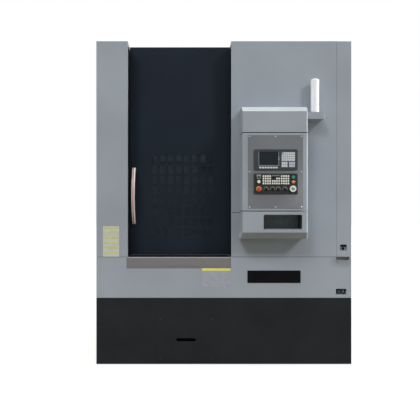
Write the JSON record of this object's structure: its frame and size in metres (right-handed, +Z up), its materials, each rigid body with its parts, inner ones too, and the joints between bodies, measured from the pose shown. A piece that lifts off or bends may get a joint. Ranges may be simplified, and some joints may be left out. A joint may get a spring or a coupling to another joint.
{
  "type": "cnc vertical lathe",
  "caption": "Enclosed vertical turning lathe with a sliding windowed door, chuck on an upright spindle, tool turret on cross slides and a wall-mounted operator console.",
  "frame": {"origin": "on the floor under the middle of the machine's outer box", "axes": "+X to the operator's right, +Y from the operator towards the rear panel, +Z up"},
  "size_m": [2.45, 2.186, 3.11],
  "materials": {
    "grey_paint": "satin",
    "black_paint": "satin",
    "frame_paint": "satin",
    "stainless": "brushed",
    "handle_metal": "polished",
    "window_glass": "tinted",
    "casting_paint": "painted",
    "machined_steel": "ground",
    "motor_black": "satin",
    "belt_rubber": "matte",
    "plate_grey": "satin",
    "dark_plastic": "moulded",
    "roller_nylon": "turned",
    "lamp_white": "moulded",
    "stop_red": "moulded",
    "button_green": "moulded",
    "button_orange": "moulded",
    "bright_metal": "turned"
  },
  "bodies": {
    "machine": {"access_cover": "black_paint", "base_casting": "casting_paint", "base_skirt": "black_paint", "column_casting": "casting_paint", "console_bottom": "grey_paint", "console_middle": "grey_paint", "console_top": "grey_paint", "control_plate": "plate_grey", "coolant_tank": "frame_paint", "display_unit": "dark_plastic", "door_sill": "stainless", "drive_belt": "belt_rubber", "electrical_cabinet": "frame_paint", "enclosure_frame": "frame_paint", "front_left_panel": "grey_paint", "front_lower_panel": "grey_paint", "front_right_panel": "grey_paint", "leveling_feet": "machined_steel", "operator_panel": "dark_plastic", "rear_panel": "grey_paint", "roof_panel": "grey_paint", "side_panel_left": "grey_paint", "side_panel_right": "grey_paint", "signal_lamp": "lamp_white", "spindle_bearings": "machined_steel", "spindle_housing": "casting_paint", "spindle_motor": "motor_black", "work_area_liner": "frame_paint", "x_servo_motor": "motor_black"},
    "door": {"door_panel": "black_paint", "door_window": "window_glass", "window_guard": "black_paint", "door_handle": "handle_metal"},
    "door_roller_left": {"door_roller_left": "roller_nylon"},
    "door_roller_right": {"door_roller_right": "roller_nylon"},
    "cabinet_door": {"cabinet_door": "grey_paint"},
    "latch": {"latch_knob": "dark_plastic"},
    "spindle": {"spindle_shaft": "machined_steel", "chuck_body": "machined_steel"},
    "jaw_1": {"chuck_jaw_1": "machined_steel"},
    "jaw_2": {"chuck_jaw_2": "machined_steel"},
    "jaw_3": {"chuck_jaw_3": "machined_steel"},
    "motor_pulley": {"motor_pulley": "machined_steel"},
    "x_screw": {"x_screw": "machined_steel"},
    "saddle": {"saddle_casting": "casting_paint", "z_servo_motor": "motor_black"},
    "z_screw": {"z_screw": "machined_steel"},
    "ram": {"ram_casting": "casting_paint"},
    "turret": {"turret_disc": "machined_steel", "turret_tools": "machined_steel"},
    "estop": {"estop_button": "stop_red"},
    "white_button": {"white_button": "lamp_white"},
    "green_button": {"green_button": "button_green"},
    "orange_button": {"orange_button": "button_orange"},
    "selector_1": {"selector_knob_1": "dark_plastic"},
    "selector_2": {"selector_knob_2": "dark_plastic"},
    "selector_3": {"selector_knob_3": "dark_plastic"},
    "selector_4": {"selector_knob_4": "dark_plastic"},
    "key_switch": {"key_switch": "bright_metal"},
    "handwheel": {"handwheel": "bright_metal"}
  },
  "joints": [
    {"name": "door_slide", "type": "slide", "parent": "machine", "child": "door", "axis": [1, 0, 0], "range_m": [0, 0.88]},
    {"name": "roller_left_turn", "type": "hinge", "parent": "door", "child": "door_roller_left", "pos_m": [-0.79, -0.597, 3.0554], "axis": [0, 1, 0], "range_deg": [-5, 2100]},
    {"name": "roller_right_turn", "type": "hinge", "parent": "door", "child": "door_roller_right", "pos_m": [-0.06, -0.597, 3.0554], "axis": [0, 1, 0], "range_deg": [-5, 2100]},
    {"name": "cabinet_door_hinge", "type": "hinge", "parent": "machine", "child": "cabinet_door", "pos_m": [1.213, -0.795, 2.075], "axis": [0, 0, 1], "range_deg": [0, 95]},
    {"name": "latch_turn", "type": "hinge", "parent": "cabinet_door", "child": "latch", "pos_m": [1.146, -0.797, 1.119], "axis": [0, 1, 0], "range_deg": [0, 90]},
    {"name": "spindle_turn", "type": "hinge", "parent": "machine", "child": "spindle", "pos_m": [-0.43, -0.117, 1], "axis": [0, 0, 1], "continuous": true},
    {"name": "motor_turn", "type": "hinge", "parent": "machine", "child": "motor_pulley", "pos_m": [0.64, -0.117, 0.2], "axis": [0, 0, 1], "continuous": true},
    {"name": "jaw_1_slide", "type": "slide", "parent": "spindle", "child": "jaw_1", "axis": [0, 1, 0], "range_m": [-0.006, 0.006]},
    {"name": "jaw_2_slide", "type": "slide", "parent": "spindle", "child": "jaw_2", "axis": [-0.866, -0.5, 0], "range_m": [-0.006, 0.006]},
    {"name": "jaw_3_slide", "type": "slide", "parent": "spindle", "child": "jaw_3", "axis": [0.866, -0.5, 0], "range_m": [-0.006, 0.006]},
    {"name": "saddle_x", "type": "slide", "parent": "machine", "child": "saddle", "axis": [1, 0, 0], "range_m": [-0.52, 0]},
    {"name": "x_screw_turn", "type": "hinge", "parent": "machine", "child": "x_screw", "pos_m": [0, 0.409, 2.395], "axis": [1, 0, 0], "range_deg": [-16000, 10]},
    {"name": "ram_z", "type": "slide", "parent": "saddle", "child": "ram", "axis": [0, 0, 1], "range_m": [-0.7, 0]},
    {"name": "z_screw_turn", "type": "hinge", "parent": "saddle", "child": "z_screw", "pos_m": [0.04, 0.225, 2.4], "axis": [0, 0, 1], "range_deg": [-26000, 10]},
    {"name": "turret_index", "type": "hinge", "parent": "ram", "child": "turret", "pos_m": [0.04, -0.122, 2.15], "axis": [0, 1, 0], "continuous": true},
    {"name": "estop_press", "type": "slide", "parent": "machine", "child": "estop", "axis": [0, 1, 0], "range_m": [0, 0.004], "stiffness_N_per_m": 1500},
    {"name": "white_press", "type": "slide", "parent": "machine", "child": "white_button", "axis": [0, 1, 0], "range_m": [0, 0.003], "stiffness_N_per_m": 800},
    {"name": "green_press", "type": "slide", "parent": "machine", "child": "green_button", "axis": [0, 1, 0], "range_m": [0, 0.003], "stiffness_N_per_m": 800},
    {"name": "orange_press", "type": "slide", "parent": "machine", "child": "orange_button", "axis": [0, 1, 0], "range_m": [0, 0.003], "stiffness_N_per_m": 800},
    {"name": "selector_1_turn", "type": "hinge", "parent": "machine", "child": "selector_1", "pos_m": [0.366, -1.06, 1.683], "axis": [0, 1, 0], "range_deg": [-120, 120]},
    {"name": "selector_2_turn", "type": "hinge", "parent": "machine", "child": "selector_2", "pos_m": [0.425, -1.06, 1.683], "axis": [0, 1, 0], "range_deg": [-120, 120]},
    {"name": "selector_3_turn", "type": "hinge", "parent": "machine", "child": "selector_3", "pos_m": [0.476, -1.06, 1.683], "axis": [0, 1, 0], "range_deg": [-120, 120]},
    {"name": "selector_4_turn", "type": "hinge", "parent": "machine", "child": "selector_4", "pos_m": [0.537, -1.06, 1.683], "axis": [0, 1, 0], "range_deg": [-120, 120]},
    {"name": "key_turn", "type": "hinge", "parent": "machine", "child": "key_switch", "pos_m": [0.299, -1.06, 1.791], "axis": [0, 1, 0], "range_deg": [0, 90]},
    {"name": "handwheel_turn", "type": "hinge", "parent": "machine", "child": "handwheel", "pos_m": [0.607, -1.06, 1.684], "axis": [0, 1, 0], "continuous": true}
  ],
  "couplings": [
    {"joint": "roller_left_turn", "follows": "door_slide", "rad_per_m": 40},
    {"joint": "roller_right_turn", "follows": "door_slide", "rad_per_m": 40},
    {"joint": "motor_turn", "follows": "spindle_turn", "ratio": 2},
    {"joint": "jaw_2_slide", "follows": "jaw_1_slide", "ratio": 1},
    {"joint": "jaw_3_slide", "follows": "jaw_1_slide", "ratio": 1},
    {"joint": "x_screw_turn", "follows": "saddle_x", "rad_per_m": 523.6},
    {"joint": "z_screw_turn", "follows": "ram_z", "rad_per_m": 628.32}
  ]
}
